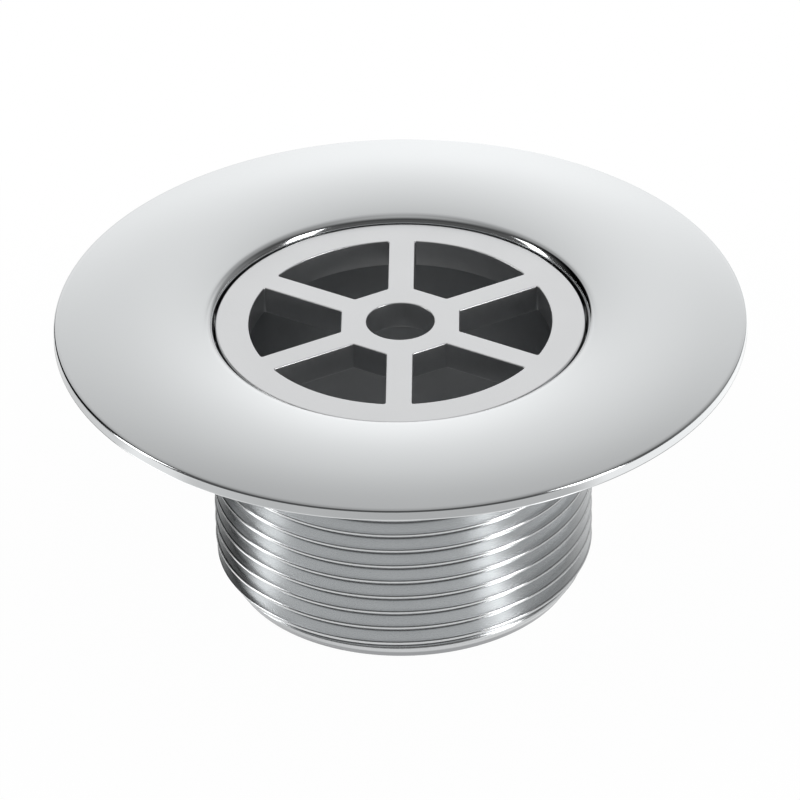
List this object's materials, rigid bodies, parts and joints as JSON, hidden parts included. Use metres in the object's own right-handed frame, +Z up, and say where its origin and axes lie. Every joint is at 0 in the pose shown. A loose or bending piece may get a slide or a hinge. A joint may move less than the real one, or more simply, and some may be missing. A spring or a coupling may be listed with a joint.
{
  "type": "shower waste",
  "caption": "Round domed metal flange with a loose spoked grid in its recess, over an open tail with an outside pipe thread; drains a shower tray.",
  "frame": {"origin": "centre of the tail's foot, in the plane of its end", "axes": "+Z up along the waste's axis, from the tail's foot to the flange; +Y along one of the grid's spokes"},
  "size_m": [0.0866, 0.0866, 0.0366],
  "materials": {
    "polished_chrome": "brass turned and polished, then chrome plated",
    "satin_chrome": "brass with a fine blasted grain, then chrome plated to a satin"
  },
  "bodies": {
    "root": {"waste_body": "polished_chrome", "grid": "satin_chrome"}
  },
  "joints": []
}
